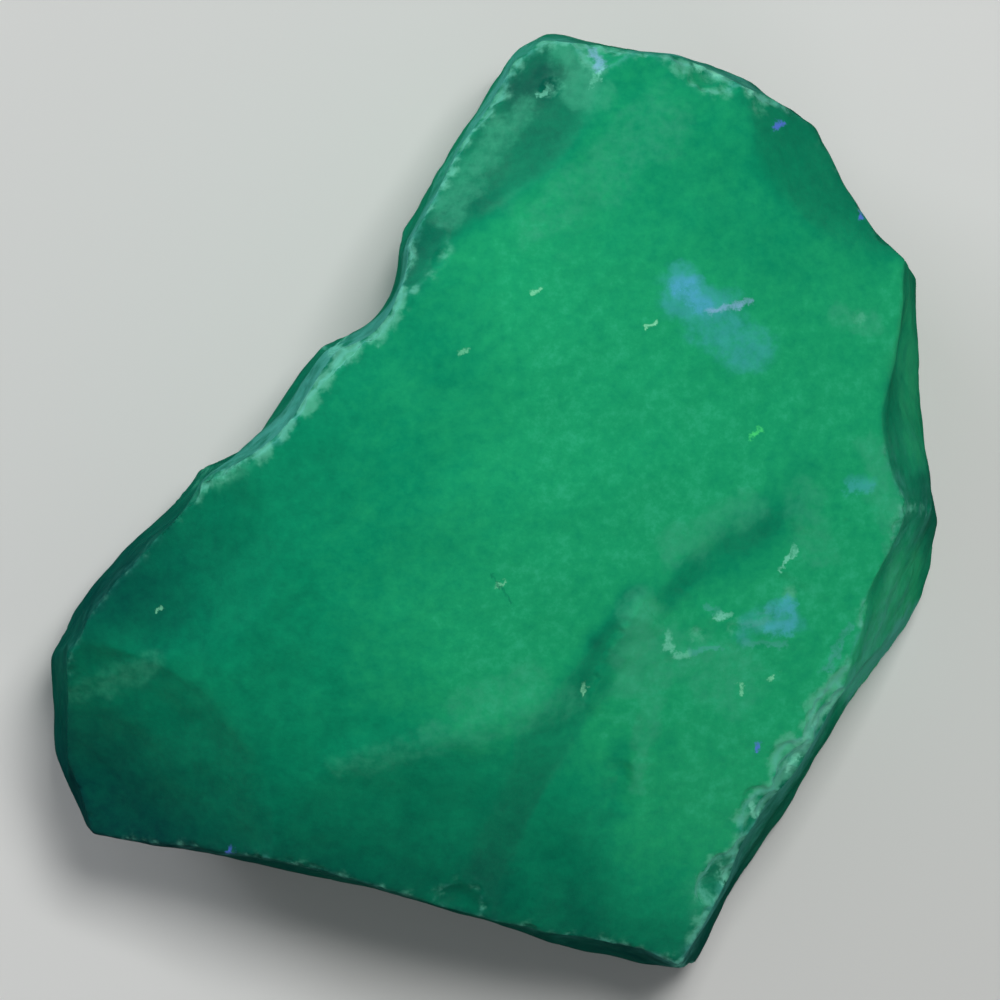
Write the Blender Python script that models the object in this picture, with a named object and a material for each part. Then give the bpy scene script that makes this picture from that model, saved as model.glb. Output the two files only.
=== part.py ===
"""Slag glass chunk: a hand-sized lump broken from a block of opaque green glass.

The lump lies on its flat underside. Every other surface is a fracture face, and each one is cut
from a rough block by a cutter of its own. A struck flake leaves a shallow hollow, so most faces
curve gently, and sharp ridges stand where two of them meet.
"""

import math

import bmesh
import bpy
from mathutils import Vector

# The sizes below are in millimetres and are turned into metres by this factor.
MM = 0.001

# The rough block that the lump is cut from.
BLOCK_WIDTH = 100.0
BLOCK_DEPTH = 100.0
BLOCK_HEIGHT = 42.0

# The broad face on top: its highest part, the way it leans and how much it bulges.
CROWN_X = 5.1
CROWN_Y = 6.7
CROWN_HEIGHT = 33.0
CROWN_AZIMUTH = 30.0
CROWN_ELEVATION = 86.0
CROWN_RADIUS_ACROSS = 85.0
CROWN_RADIUS_ALONG = 80.0

# The middle of the outline, which is moved onto the vertical axis.
MIDDLE_X = -0.08
MIDDLE_Y = -0.17

# How finely a curved face is cut into facets, and how far a cutter reaches past the lump.
FACET_MIN = 1.3
FACET_MAX = 3.2
FACET_STEP = 0.28
CUTTER_REACH = 52.0
CUTTER_RISE = 24.0

# A radius this large is a flat face.
FLAT = 4000.0

# Each wall: a point on it, the way it faces, and its two radii. The azimuth runs anticlockwise
# from +X, and the elevation up from the floor. The first radius is across the face, along the
# floor, and the second is up the face. A positive radius bulges and a negative one is hollow.
WALLS = {
    "lower_right_wall": ((26.5, -24.0, 4.0), -33, 8, -230, -300),
    "bottom_wall": ((-21.8, -31.0, 12.0), -101.5, 4, -260, 300),
    "bottom_wall_right": ((5.2, -38.1, 12.0), -106, 4, -300, 300),
    "toe": ((14.4, -40.5, 8.0), -92, 4, FLAT, 300),
    "heel": ((-36.9, -25.5, 8.0), 206, 4, FLAT, 200),
    "left_wall": ((-38.5, -17.2, 8.0), 180, 5, FLAT, 200),
    "left_shoulder": ((-36.7, -9.6, 8.0), 150, 5, FLAT, 200),
    "long_left_wall": ((-30.3, -2.2, 10.0), 141, 4, -150, 300),
    "scallop": ((-20.4, 6.2, 12.0), 134, 3, -15, 300),
    "notch": ((-10.5, 16.0, 12.0), 138, 2, -6, 300),
    "upper_left_wall": ((-6.1, 26.9, 12.0), 155, 3, -60, 300),
    "top_left_corner": ((-0.4, 35.9, 14.0), 149, 3, -100, 200),
    "top_corner": ((1.9, 38.8, 14.0), 122, 3, FLAT, 200),
    "top_wall": ((6.9, 40.0, 14.0), 88, 3, FLAT, 200),
    "upper_right_wall": ((16.4, 37.7, 14.0), 77, 3, FLAT, 200),
    "upper_right_shoulder": ((22.8, 35.2, 14.0), 64, 3, FLAT, 200),
    "upper_right_corner": ((26.1, 32.7, 14.0), 45, 3, FLAT, 200),
    "right_hollow": ((30.4, 25.2, 14.0), 34, 2, -26, -200),
    "right_wall": ((36.1, 13.4, 12.0), 5, 3, -75, 120),
    "cheek_upper": ((38.1, 3.6, 5.0), 11, 8, -40, 120),
    "cheek_lower": ((38.0, -5.1, 5.0), -21, 9, FLAT, 120),
}

# The lower walls lean in towards the underside, so that the lump is widest a little above it.
UNDERCUTS = {
    "under_right": ((36.4, 8.7, 9.0), 5, -28, -75, 90),
    "under_cheek": ((38.8, -3.8, 3.5), -14, -34, FLAT, 90),
    "under_lower_right": ((26.6, -24.0, 3.0), -33, -32, -230, 90),
    "under_toe": ((15.7, -40.7, 6.0), -75, -30, FLAT, 90),
    "under_bottom": ((-5.1, -35.0, 8.0), -104, -24, -400, 90),
    "under_heel": ((-36.4, -25.9, 8.0), 215, -34, FLAT, 60),
    "under_left": ((-38.2, -12.9, 7.0), 168, -30, FLAT, 60),
    "under_long_left": ((-15.6, 12.4, 9.0), 140, -32, -80, 60),
    "under_top": ((6.1, 40.3, 9.0), 92, -30, FLAT, 60),
    "under_upper_right": ((27.9, 30.5, 9.0), 50, -26, FLAT, 60),
}

# Shallow scars high on the walls, where a flake has come away from the edge above.
WALL_FLAKES = {
    "front_left_scar": ((-16.0, -32.4, 12.0), -108, 14, -26, -34),
    "front_right_scar": ((7.0, -38.4, 11.0), -98, 13, -24, -36),
    "far_end_scar": ((9.0, 39.6, 12.0), 82, 12, -20, -30),
    "upper_right_scar": ((24.2, 34.4, 12.0), 55, 12, -18, -30),
    "left_end_scar": ((-38.3, -18.5, 9.5), 186, 14, -16, -34),
    "back_scar": ((-27.0, 0.4, 11.5), 141, 12, -14, -40),
    "front_low_scar": ((1.0, -34.0, 3.5), -98, -44, -24, -18),
    "back_low_scar": ((-9.0, 14.0, 3.0), 128, -48, -18, -14),
}

# Each flake on top: x, y and the depth under the broad face, then as for a wall.
FLAKES = {
    "upper_left_flake": ((3.8, 27.1, 0.0), 116, 52, -150, -50),
    "upper_left_pocket": ((-4.1, 21.7, 0.0), 146, 46, -15, -11),
    "upper_right_flake": ((25.0, 24.6, 0.0), 42, 46, -60, -60),
    "right_strip": ((32.5, 13.1, 0.0), 6, 44, -150, -60),
    "bottom_flake": ((-3.7, -19.5, 0.0), -96, 61, -300, -150),
    "left_flake": ((-18.2, -3.2, 0.0), 189, 53, -30, -30),
    "lower_left_flake": ((-23.2, -17.7, 0.0), 221, 47, -60, -60),
}

# The stepped scar at the lower right: a floor that ends at two short walls under the broad face.
SCAR_FLOOR = ((15.9, -15.8, 1.7), -62, 73, 95, 90)
SCAR_WALLS = {
    "scar_upper_wall": ((20.2, -1.8, 0.0), -44, 60, 45, -60),
    "scar_lower_wall": ((8.7, -11.4, 0.0), -48, 50, 200, -120),
}

# Small chips out of the sharp upper edges: the deepest point of each, and the way it faces.
CHIP_RADIUS_ACROSS = -3.6
CHIP_RADIUS_ALONG = -2.8
CHIPS = {
    "right_edge_chip_1": ((27.9, -17.1, 23.4), -33, 42),
    "right_edge_chip_2": ((24.2, -22.0, 23.5), -30, 44),
    "right_edge_chip_3": ((21.4, -26.4, 22.3), -36, 40),
    "right_edge_chip_4": ((18.5, -31.8, 20.4), -33, 42),
    "far_edge_chip_1": ((17.5, 35.2, 24.6), 70, 44),
    "far_edge_chip_2": ((8.4, 37.6, 24.7), 84, 46),
    "back_edge_chip_1": ((-13.0, 12.0, 31.3), 140, 48),
    "back_edge_chip_2": ((-18.8, 5.6, 30.4), 136, 48),
    "front_edge_chip": ((-2.5, -33.2, 22.7), -103, 44),
}

GLASS_COLOUR = (0.012, 0.30, 0.135, 1.0)
GLASS_ROUGHNESS = 0.35


def facing(azimuth, elevation):
    """The three directions of a face: across it, up it and out of it."""
    az = math.radians(azimuth)
    el = math.radians(elevation)
    out = Vector((math.cos(az) * math.cos(el), math.sin(az) * math.cos(el), math.sin(el)))
    across = Vector((-math.sin(az), math.cos(az), 0.0))
    return across, out.cross(across), out


def crown_height(x, y):
    """The height of the broad face above the floor at this place."""
    across, along, out = facing(CROWN_AZIMUTH, CROWN_ELEVATION)
    z = CROWN_HEIGHT
    for _ in range(12):
        step = Vector((x - CROWN_X, y - CROWN_Y, z - CROWN_HEIGHT))
        sag = step.dot(across) ** 2 / (2 * CROWN_RADIUS_ACROSS)
        sag += step.dot(along) ** 2 / (2 * CROWN_RADIUS_ALONG)
        z -= step.dot(out) + sag
    return z


def on_crown(place):
    """The point at a given depth straight below the broad face."""
    x, y, depth = place
    return (x, y, crown_height(x, y) - depth)


def grid_lines(radius):
    """Where the grid of a cutter's underside has its lines, out to both sides of the middle."""
    reach = CUTTER_REACH
    if radius < 0:
        reach = min(reach, math.sqrt(2 * -radius * CUTTER_RISE))
    facet = min(max(FACET_STEP * math.sqrt(abs(radius)), FACET_MIN), FACET_MAX)
    count = 1 if abs(radius) >= FLAT else math.ceil(reach / facet)
    return [reach * i / count for i in range(-count, count + 1)]


def make_cutter(name, point, azimuth, elevation, radius_across, radius_along):
    """A block whose underside is the fracture face and whose bulk takes away what lies outside it."""
    across, along, out = facing(azimuth, elevation)
    centre = Vector(point) - Vector((MIDDLE_X, MIDDLE_Y, 0.0))
    us = grid_lines(radius_across)
    vs = grid_lines(radius_along)
    rise = 2 * CUTTER_RISE + 2
    mesh = bmesh.new()
    under = []
    top = []
    for u in us:
        for v in vs:
            height = -u * u / (2 * radius_across) - v * v / (2 * radius_along)
            flat_place = centre + across * u + along * v
            under.append(mesh.verts.new((flat_place + out * height) * MM))
            top.append(mesh.verts.new((flat_place + out * rise) * MM))
    rows = len(us)
    columns = len(vs)
    for i in range(rows - 1):
        for j in range(columns - 1):
            a = i * columns + j
            b = a + columns
            mesh.faces.new((under[a], under[a + 1], under[b + 1], under[b]))
            mesh.faces.new((top[a], top[b], top[b + 1], top[a + 1]))
    for i in range(rows - 1):
        for j in (0, columns - 1):
            a = i * columns + j
            b = a + columns
            mesh.faces.new((under[a], under[b], top[b], top[a]))
    for j in range(columns - 1):
        for i in (0, rows - 1):
            a = i * columns + j
            mesh.faces.new((under[a], under[a + 1], top[a + 1], top[a]))
    bmesh.ops.recalc_face_normals(mesh, faces=mesh.faces)
    data = bpy.data.meshes.new(name)
    mesh.to_mesh(data)
    mesh.free()
    cutter = bpy.data.objects.new(name, data)
    cutter.hide_render = True
    cutter.display_type = "WIRE"
    bpy.context.scene.collection.objects.link(cutter)
    return cutter


def combine(target, tool, operation):
    """A Boolean of the tool on the target."""
    modifier = target.modifiers.new(tool.name, "BOOLEAN")
    modifier.operation = operation
    modifier.solver = "EXACT"
    modifier.object = tool


def make_block():
    """The rough block, standing on the floor."""
    bpy.ops.mesh.primitive_cube_add(size=1.0, location=(0.0, 0.0, BLOCK_HEIGHT / 2 * MM))
    block = bpy.context.active_object
    block.name = "slag_glass_chunk"
    block.data.name = "slag_glass_chunk"
    block.scale = (BLOCK_WIDTH * MM, BLOCK_DEPTH * MM, BLOCK_HEIGHT * MM)
    return block


def make_material():
    """Opaque green glass with a satin skin."""
    material = bpy.data.materials.new("slag_glass")
    material.use_nodes = True
    shader = material.node_tree.nodes["Principled BSDF"]
    shader.inputs["Base Color"].default_value = GLASS_COLOUR
    shader.inputs["Roughness"].default_value = GLASS_ROUGHNESS
    return material


def main():
    for thing in list(bpy.data.objects):
        bpy.data.objects.remove(thing, do_unlink=True)

    lump = make_block()
    lump.data.materials.append(make_material())

    for name, (point, *face) in (WALLS | UNDERCUTS | WALL_FLAKES).items():
        combine(lump, make_cutter(name, point, *face), "DIFFERENCE")

    crown = ((CROWN_X, CROWN_Y, CROWN_HEIGHT), CROWN_AZIMUTH, CROWN_ELEVATION)
    radii = (CROWN_RADIUS_ACROSS, CROWN_RADIUS_ALONG)
    combine(lump, make_cutter("broad_face", *crown, *radii), "DIFFERENCE")

    for name, (place, *face) in FLAKES.items():
        combine(lump, make_cutter(name, on_crown(place), *face), "DIFFERENCE")

    scar = make_cutter("scar_floor", on_crown(SCAR_FLOOR[0]), *SCAR_FLOOR[1:])
    for name, (place, *face) in SCAR_WALLS.items():
        combine(scar, make_cutter(name, on_crown(place), *face), "INTERSECT")
    combine(lump, scar, "DIFFERENCE")

    for name, (point, *face) in CHIPS.items():
        chip = make_cutter(name, point, *face, CHIP_RADIUS_ACROSS, CHIP_RADIUS_ALONG)
        combine(lump, chip, "DIFFERENCE")


main()
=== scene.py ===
# %% [markdown]
# # A lump of slag glass, lying on its flat side
# Slag glass is the cloudy glass that runs off a furnace. Broken with a hammer it parts in smooth,
# gently curved faces that meet in sharp ridges, and the ridges crumble into small round chips.
# The lump could be sculpted by hand, or grown out of noise. Here each fracture face is a formula:
# a point on it, the way it faces, and two radii. A fine skin of points is then drawn onto those
# faces, so the large forms stay those of the solid that the lesson starts from.

import math

import bmesh
import bpy
import numpy as np
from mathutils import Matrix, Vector


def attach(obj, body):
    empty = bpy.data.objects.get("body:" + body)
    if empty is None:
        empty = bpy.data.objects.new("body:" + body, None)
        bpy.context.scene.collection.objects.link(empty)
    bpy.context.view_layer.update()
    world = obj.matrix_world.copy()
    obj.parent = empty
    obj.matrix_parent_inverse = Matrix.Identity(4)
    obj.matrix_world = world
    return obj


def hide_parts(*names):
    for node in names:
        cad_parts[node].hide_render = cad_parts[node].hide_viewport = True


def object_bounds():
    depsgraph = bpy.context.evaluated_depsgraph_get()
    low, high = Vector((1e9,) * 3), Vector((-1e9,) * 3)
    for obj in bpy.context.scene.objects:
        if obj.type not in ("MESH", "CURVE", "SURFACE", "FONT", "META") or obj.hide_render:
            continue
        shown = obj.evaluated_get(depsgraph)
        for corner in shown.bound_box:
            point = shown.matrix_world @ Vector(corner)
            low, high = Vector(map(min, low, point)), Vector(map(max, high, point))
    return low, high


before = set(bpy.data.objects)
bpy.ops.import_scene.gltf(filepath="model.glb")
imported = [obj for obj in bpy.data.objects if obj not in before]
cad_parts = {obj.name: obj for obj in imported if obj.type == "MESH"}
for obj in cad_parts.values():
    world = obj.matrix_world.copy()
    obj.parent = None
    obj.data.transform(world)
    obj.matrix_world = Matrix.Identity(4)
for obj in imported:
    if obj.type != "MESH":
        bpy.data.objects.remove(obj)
solid_box = [list(map(float, corner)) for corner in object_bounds()]
NODE = "slag_glass_chunk"
MM = 0.001

low = np.array(solid_box[0]) / MM
high = np.array(solid_box[1]) / MM
print("solid, mm:", (high - low).round(1))

# %% [markdown]
# ## The fracture faces
# On the real lump every face is the scar of one blow. A struck flake leaves a hollow, so most
# radii are negative; the broad face on top bulges a little. The list is in millimetres, in the
# same places as on the solid: a point, the azimuth and elevation that the face looks towards, and
# the radii across it and up it. The flakes on top give a depth under the broad face instead of a
# height, which keeps them on it when its crown is changed.

# %% The broad face and its height
FLAT = 4000.0
CROWN = ((5.18, 6.87, 33.0), 30, 86, 85, 80)
CROWN_ROUNDS = 12


def facing(azimuth, elevation):
    """The directions across a face, up it and out of it, as the rows of a matrix."""
    az = math.radians(azimuth)
    el = math.radians(elevation)
    out = np.array([math.cos(az) * math.cos(el), math.sin(az) * math.cos(el), math.sin(el)])
    across = np.array([-math.sin(az), math.cos(az), 0.0])
    return np.array([across, np.cross(out, across), out])


def crown_height(x, y):
    """The height of the broad face at this place."""
    place, azimuth, elevation, radius_across, radius_along = CROWN
    directions = facing(azimuth, elevation)
    z = place[2]
    for _ in range(CROWN_ROUNDS):
        u, v, w = directions @ (np.array([x, y, z]) - place)
        z -= w + u * u / (2 * radius_across) + v * v / (2 * radius_along)
    return z


print("broad face over the middle, mm:", round(crown_height(0.0, 0.0), 2))

# %% The walls, the leaning lower walls and the scars on them
WALLS = {
    "lower_right_wall": ((26.58, -23.83, 4.0), -33, 8, -230, -300),
    "bottom_wall": ((-21.72, -30.83, 12.0), -101.5, 4, -260, 300),
    "bottom_wall_right": ((5.28, -37.93, 12.0), -106, 4, -300, 300),
    "toe": ((14.48, -40.33, 8.0), -92, 4, FLAT, 300),
    "heel": ((-36.82, -25.33, 8.0), 206, 4, FLAT, 200),
    "left_wall": ((-38.42, -17.03, 8.0), 180, 5, FLAT, 200),
    "left_shoulder": ((-36.62, -9.43, 8.0), 150, 5, FLAT, 200),
    "long_left_wall": ((-30.22, -2.03, 10.0), 141, 4, -150, 300),
    "scallop": ((-20.32, 6.37, 12.0), 134, 3, -15, 300),
    "notch": ((-10.42, 16.17, 12.0), 138, 2, -6, 300),
    "upper_left_wall": ((-6.02, 27.07, 12.0), 155, 3, -60, 300),
    "top_left_corner": ((-0.32, 36.07, 14.0), 149, 3, -100, 200),
    "top_corner": ((1.98, 38.97, 14.0), 122, 3, FLAT, 200),
    "top_wall": ((6.98, 40.17, 14.0), 88, 3, FLAT, 200),
    "upper_right_wall": ((16.48, 37.87, 14.0), 77, 3, FLAT, 200),
    "upper_right_shoulder": ((22.88, 35.37, 14.0), 64, 3, FLAT, 200),
    "upper_right_corner": ((26.18, 32.87, 14.0), 45, 3, FLAT, 200),
    "right_hollow": ((30.48, 25.37, 14.0), 34, 2, -26, -200),
    "right_wall": ((36.18, 13.57, 12.0), 5, 3, -75, 120),
    "cheek_upper": ((38.18, 3.77, 5.0), 11, 8, -40, 120),
    "cheek_lower": ((38.08, -4.93, 5.0), -21, 9, FLAT, 120),
    "under_right": ((36.48, 8.87, 9.0), 5, -28, -75, 90),
    "under_cheek": ((38.88, -3.63, 3.5), -14, -34, FLAT, 90),
    "under_lower_right": ((26.68, -23.83, 3.0), -33, -32, -230, 90),
    "under_toe": ((15.78, -40.53, 6.0), -75, -30, FLAT, 90),
    "under_bottom": ((-5.02, -34.83, 8.0), -104, -24, -400, 90),
    "under_heel": ((-36.32, -25.73, 8.0), 215, -34, FLAT, 60),
    "under_left": ((-38.12, -12.73, 7.0), 168, -30, FLAT, 60),
    "under_long_left": ((-15.52, 12.57, 9.0), 140, -32, -80, 60),
    "under_top": ((6.18, 40.47, 9.0), 92, -30, FLAT, 60),
    "under_upper_right": ((27.98, 30.67, 9.0), 50, -26, FLAT, 60),
    "front_left_scar": ((-15.92, -32.23, 12.0), -108, 14, -26, -34),
    "front_right_scar": ((7.08, -38.23, 11.0), -98, 13, -24, -36),
    "far_end_scar": ((9.08, 39.77, 12.0), 82, 12, -20, -30),
    "upper_right_scar": ((24.28, 34.57, 12.0), 55, 12, -18, -30),
    "left_end_scar": ((-38.22, -18.33, 9.5), 186, 14, -16, -34),
    "back_scar": ((-26.92, 0.57, 11.5), 141, 12, -14, -40),
    "front_low_scar": ((1.08, -33.83, 3.5), -98, -44, -24, -18),
    "back_low_scar": ((-8.92, 14.17, 3.0), 128, -48, -18, -14),
}
print("walls and scars on them:", len(WALLS))

# %% The flakes on top, the stepped scar with its two short walls, and chips out of the edges
FLAKES = {
    "upper_left_flake": ((3.88, 27.27, 0.0), 116, 52, -150, -50),
    "upper_left_pocket": ((-4.02, 21.87, 0.0), 146, 46, -15, -11),
    "upper_right_flake": ((25.08, 24.77, 0.0), 42, 46, -60, -60),
    "right_strip": ((32.58, 13.27, 0.0), 6, 44, -150, -60),
    "bottom_flake": ((-3.62, -19.33, 0.0), -96, 61, -300, -150),
    "left_flake": ((-18.12, -3.03, 0.0), 189, 53, -30, -30),
    "lower_left_flake": ((-23.12, -17.53, 0.0), 221, 47, -60, -60),
}
SCAR = [
    ((15.98, -15.63, 1.7), -62, 73, 95, 90),
    ((20.28, -1.63, 0.0), -44, 60, 45, -60),
    ((8.78, -11.23, 0.0), -48, 50, 200, -120),
]
CHIP_RADII = (-3.6, -2.8)
CHIPS = {
    "right_edge_chip_1": ((27.98, -16.93, 23.4), -33, 42),
    "right_edge_chip_2": ((24.28, -21.83, 23.5), -30, 44),
    "right_edge_chip_3": ((21.48, -26.23, 22.3), -36, 40),
    "right_edge_chip_4": ((18.58, -31.63, 20.4), -33, 42),
    "far_edge_chip_1": ((17.58, 35.37, 24.6), 70, 44),
    "far_edge_chip_2": ((8.48, 37.77, 24.7), 84, 46),
    "back_edge_chip_1": ((-12.92, 12.17, 31.3), 140, 48),
    "back_edge_chip_2": ((-18.72, 5.77, 30.4), 136, 48),
    "front_edge_chip": ((-2.42, -33.03, 22.7), -103, 44),
}


def face(place, azimuth, elevation, radius_across, radius_along):
    """One fracture face, ready to be measured against many points."""
    return np.array(place), facing(azimuth, elevation), radius_across, radius_along


def on_crown(place):
    """The point at a given depth straight below the broad face."""
    x, y, depth = place
    return (x, y, crown_height(x, y) - depth)


# The painted shade on each kind of face, darker where it turns away from the light: the share of
# its light that the green loses. The three numbers for the scar are for its floor and its two short
# walls.
WALL_SHADE = 0.38
CHIP_SHADE = 0.06
SCAR_SHADES = np.array([0.0, 0.24, 0.26])
FLAKE_SHADES = {
    "upper_left_flake": 0.46,
    "upper_left_pocket": 0.42,
    "upper_right_flake": 0.25,
    "right_strip": 0.0,
    "bottom_flake": 0.06,
    "left_flake": 0.05,
    "lower_left_flake": 0.05,
}
painted_face_shades = [WALL_SHADE, 0.0] + [WALL_SHADE] * len(WALLS) + [FLAKE_SHADES[name] for name in FLAKES]
painted_face_shades += [CHIP_SHADE] * len(CHIPS) + [0.0]

faces = [[face((0.0, 0.0, 0.0), 0, -90, FLAT, FLAT)], [face(*CROWN)]]
faces += [[face(*row)] for row in WALLS.values()]
faces += [[face(on_crown(place), *row)] for place, *row in FLAKES.values()]
faces += [[face(*row, *CHIP_RADII)] for row in CHIPS.values()]
faces.append([face(on_crown(place), *row) for place, *row in SCAR])
print("fracture faces:", len(faces))

# %% [markdown]
# ## Measuring how far a point lies outside the lump
# For one face the measure is the distance out of it, plus what its curve adds. The lump is what
# lies inside every face, so its measure is the largest of them all. A plain largest would leave
# ridges like a cut gem's. Here the largest ones are blended over a tenth or two of a millimetre,
# more in some places than in others, which is what handling does to a ridge of glass.
# Each face but the underside also gets its own slow waviness, so that the edge of a scar wanders
# instead of being part of a perfect circle.

# %% Smooth waves in space, for waviness and for wear
SEED = 41


def waves(points, wavelength, seed, count=9):
    """Smooth noise from -1 to 1 or so: the sum of a few flat waves that run in all directions."""
    random = np.random.default_rng(SEED * 1000 + seed)
    ways = random.normal(size=(count, 3))
    ways /= np.linalg.norm(ways, axis=1)[:, None]
    ways *= 2 * math.pi / wavelength * random.uniform(0.7, 1.4, size=(count, 1))
    phases = random.uniform(0, 2 * math.pi, size=count)
    return np.sin(points @ ways.T + phases).sum(axis=1) / math.sqrt(count)


WAVE_SIZES = (13.0, 13.5, 5.5, 5.0)
WAVE_HEIGHTS = np.array([0.20, 0.20, 0.06, 0.06])
WALL_WAVE = 1.9
RIDGE_SOFT = 0.11
RIDGE_SOFT_CHANGE = 0.05
RIDGE_SOFT_RANGE = (0.04, 0.4)
LOSS_SOFT = 0.22
FIRST_WALL = 2

face_random = np.random.default_rng(SEED)
face_mix = face_random.normal(size=(len(faces), len(WAVE_SIZES)))
face_mix /= np.linalg.norm(face_mix, axis=1)[:, None]
face_mix[0] = 0.0
print("how each face mixes the waves:", face_mix.shape)

# %% The measure itself, with the way out of the lump at each point


def one_face(points, row):
    """The measure of one face and its gradient."""
    place, directions, radius_across, radius_along = row
    u, v, w = ((points - place) @ directions.T).T
    value = w + u * u / (2 * radius_across) + v * v / (2 * radius_along)
    slope = directions[2] + np.outer(u / radius_across, directions[0])
    return value, slope + np.outer(v / radius_along, directions[1])


def blend(values, slopes, soft, sign):
    """A smooth largest (sign 1) or smallest (sign -1) of several measures."""
    best = values.max(axis=0) if sign > 0 else values.min(axis=0)
    weights = np.exp(sign * (values - best) / soft)
    total = weights.sum(axis=0)
    weights /= total
    value = best + sign * soft * np.log(total)
    return value, np.einsum("fn,fnk->nk", weights, slopes), weights


def measure(points):
    """For each point: how far outside the lump it is and the way out, how far from a ridge it is
    and how sharply the ridge turns, the painted shade of its faces, and how much it lies on the
    floor of the scar."""
    bumps = np.stack([waves(points, size, i) for i, size in enumerate(WAVE_SIZES)], axis=1)
    bumps *= WAVE_HEIGHTS
    soft = RIDGE_SOFT + RIDGE_SOFT_CHANGE * waves(points, 6.0, 20)
    soft = np.clip(soft, *RIDGE_SOFT_RANGE)
    values = np.empty((len(faces), len(points)))
    slopes = np.empty((len(faces), len(points), 3))
    for i, rows in enumerate(faces):
        parts = [one_face(points, row) for row in rows]
        if len(parts) == 1:
            values[i], slopes[i] = parts[0]
        else:
            part_values = np.stack([part[0] for part in parts])
            part_slopes = np.stack([part[1] for part in parts])
            values[i], slopes[i], scar_shares = blend(part_values, part_slopes, soft, -1)
        strength = WALL_WAVE if FIRST_WALL <= i < FIRST_WALL + len(WALLS) else 1.0
        inward = 0.5 * np.linalg.norm(WAVE_HEIGHTS[:2] * face_mix[i][:2])
        values[i] += strength * (bumps @ face_mix[i] + inward)
    order = np.argpartition(values, -2, axis=0)[-2:]
    both = np.take_along_axis(values, order, axis=0)
    ways = np.take_along_axis(slopes, order[:, :, None], axis=0)
    turn = np.linalg.norm(ways[0] - ways[1], axis=1)
    from_ridge = np.abs(both[0] - both[1]) / np.maximum(turn, 0.05)
    value, slope, _ = blend(values, slopes, soft, 1)
    face_shares = np.exp((values - values.max(axis=0)) / LOSS_SOFT)
    face_shares /= face_shares.sum(axis=0)
    # The painted shade of the faces that meet at each point.
    painted_shade = np.array(painted_face_shades) @ face_shares + face_shares[-1] * (SCAR_SHADES @ scar_shares)
    on_scar = face_shares[-1] * scar_shares[0]
    return value, slope, from_ridge, turn, painted_shade, on_scar


middle = measure(np.zeros((1, 3)))
print("the middle of the underside lies outside by, mm:", float(middle[0][0].round(3)))

# %% [markdown]
# ## A fine skin of points
# The solid has a few thousand flat facets, too coarse for glass. A voxel remesh of a copy gives an
# even skin with a point every quarter of a millimetre. Subdividing would also add points, but it
# would keep the long thin triangles that cutting leaves behind.

# %% Remesh a copy of the solid
VOXEL = 0.27

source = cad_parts[NODE]
skin = bpy.data.objects.new("fine_skin", source.data.copy())
bpy.context.scene.collection.objects.link(skin)
remesh = skin.modifiers.new("fine", "REMESH")
remesh.mode = "VOXEL"
remesh.voxel_size = VOXEL * MM
remesh.adaptivity = 0.0


def settle(thing):
    """Put what the modifiers make into the mesh itself."""
    graph = bpy.context.evaluated_depsgraph_get()
    made = bpy.data.meshes.new_from_object(thing.evaluated_get(graph))
    thing.modifiers.clear()
    thing.data = made
    return made


mesh = settle(skin)
points = np.empty(len(mesh.vertices) * 3)
mesh.vertices.foreach_get("co", points)
points = points.reshape(-1, 3) / MM
print("points on the skin:", len(points))

# %% Draw the skin onto the fracture faces
BATCH = 20000
ROUNDS = 4
LONGEST_STEP = 0.5


def in_batches(work, points):
    """Run a measure on a part of the points at a time, to keep the memory small."""
    parts = [work(points[i : i + BATCH]) for i in range(0, len(points), BATCH)]
    return [np.concatenate(column) for column in zip(*parts)]


def draw_in(points, rounds):
    """Move each point along the way out until its measure is nothing."""
    for _ in range(rounds):
        value, slope, *_ = in_batches(measure, points)
        step = value / (slope * slope).sum(axis=1)
        points = points - slope * np.clip(step, -LONGEST_STEP, LONGEST_STEP)[:, None]
    return points


points = draw_in(points, ROUNDS)
value, slope, from_ridge, turn, *_ = in_batches(measure, points)
print("left over, mm:", float(np.abs(value).max().round(3)))

# %% [markdown]
# ## Worn edges, with a painted glint
# Not every edge of the lump is worn alike. The photograph shows pale, crumbled glass along the
# upper left rim, at the far end and down the lower right edge, and nearly clean edges elsewhere.
# That paleness is partly crumbled glass and partly a lamp's glint on the edge, which is painted
# into the colour here along with the wear.
# Each row here is a stretch of edge seen from above: its two ends in millimetres, how far the wear
# reaches to the sides, and how strong it is.

# %% Where the edges are worn and painted pale with a glint
EDGE_WEAR_AND_GLINT = [
    ((0.6, 38.0), (-8.6, 20.0), 3.0, 0.55),
    ((-9.6, 17.5), (-14.8, 13.1), 2.6, 0.9),
    ((-14.8, 13.1), (-19.4, 6.9), 3.0, 1.0),
    ((-19.4, 6.9), (-25.0, 3.0), 2.6, 0.45),
    ((-25.0, 3.0), (-37.0, -12.0), 2.6, 0.15),
    ((2.0, 40.0), (12.0, 39.0), 3.4, 0.55),
    ((16.0, 38.0), (23.0, 35.0), 2.6, 0.7),
    ((23.0, 35.0), (32.0, 24.0), 2.6, 0.2),
    ((29.3, -10.0), (27.5, -16.7), 2.4, 0.5),
    ((27.5, -16.7), (24.0, -22.7), 3.0, 1.0),
    ((24.0, -22.7), (16.2, -38.0), 3.0, 0.75),
    ((35.6, -9.0), (30.1, -17.6), 2.4, 0.9),
    ((34.9, 4.0), (35.3, -9.0), 2.2, 0.35),
    ((-30.0, -28.5), (16.0, -39.5), 3.4, 0.25),
]
LEAST_WEAR = 0.04
WEAR_END = 1.6


def from_line(points, start, end):
    """How far each point is from a line, how far along it and to which side, seen from above."""
    start = np.array(start, float)
    along = np.array(end, float) - start
    length = np.hypot(*along)
    along /= length
    step = points[:, :2] - start
    reach = step @ along
    side = along[0] * step[:, 1] - along[1] * step[:, 0]
    beyond = np.maximum(np.maximum(-reach, reach - length), 0)
    return np.hypot(side, beyond), reach / length, side


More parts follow.
